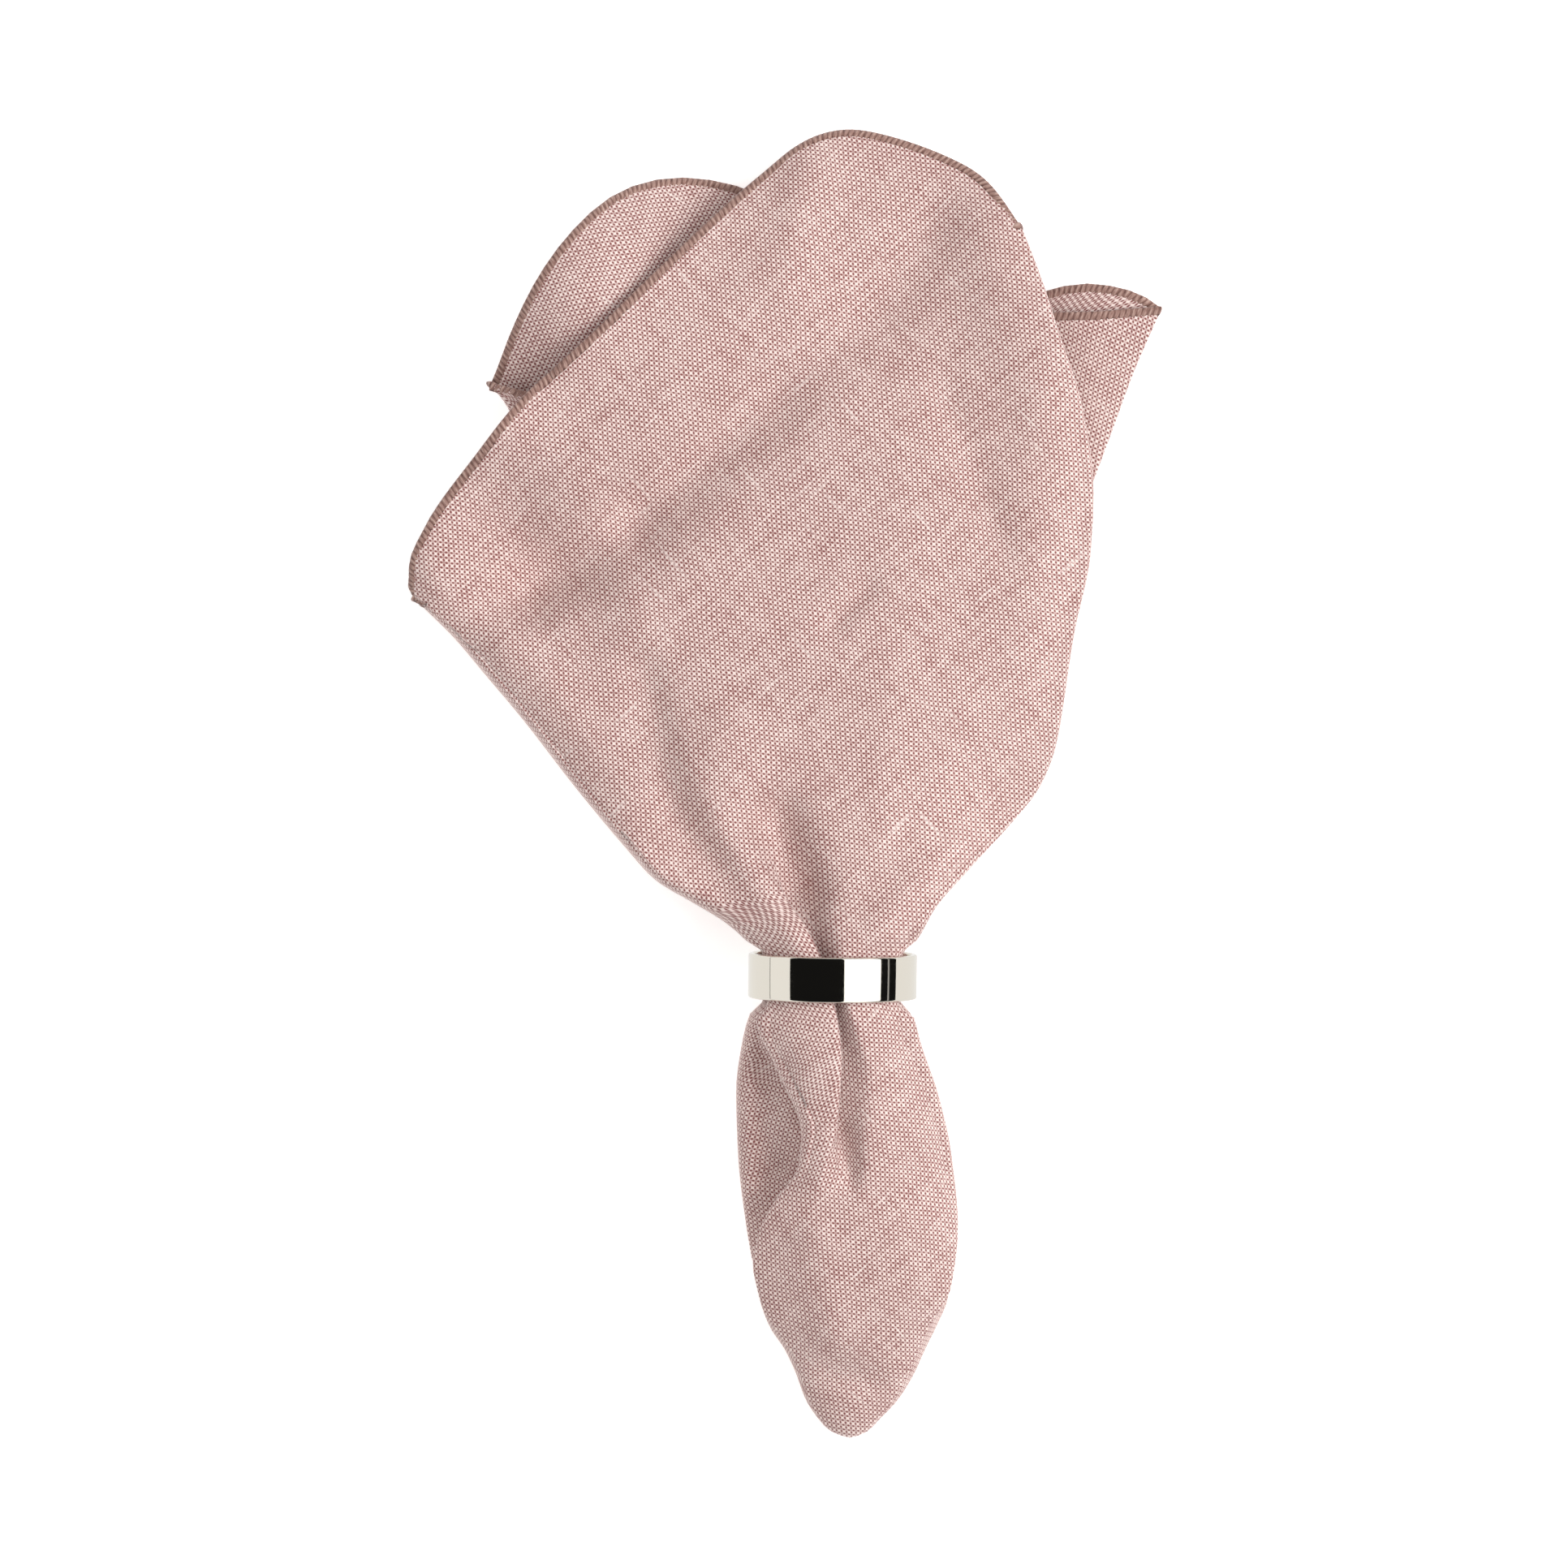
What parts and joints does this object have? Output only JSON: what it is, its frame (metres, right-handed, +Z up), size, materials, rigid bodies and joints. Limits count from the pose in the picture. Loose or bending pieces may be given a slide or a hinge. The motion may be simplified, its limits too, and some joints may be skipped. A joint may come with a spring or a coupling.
{
  "type": "cloth napkin in a ring",
  "caption": "Square linen napkin held at its middle by a polished band ring: its corners spread as a flat fan on one side, its pinched middle a closed bulb on the other.",
  "frame": {"origin": "middle of the footprint, on the table the napkin lies on", "axes": "+Z up from the table, +Y from the pinched bulb through the ring to the open fan, +X to the right seen from above with the fan at the far side"},
  "size_m": [0.1774, 0.3104, 0.04],
  "materials": {
    "linen": "plain woven, matt",
    "ring_metal": "mirror polished"
  },
  "bodies": {
    "root": {"napkin": "linen", "ring": "ring_metal"}
  },
  "joints": []
}
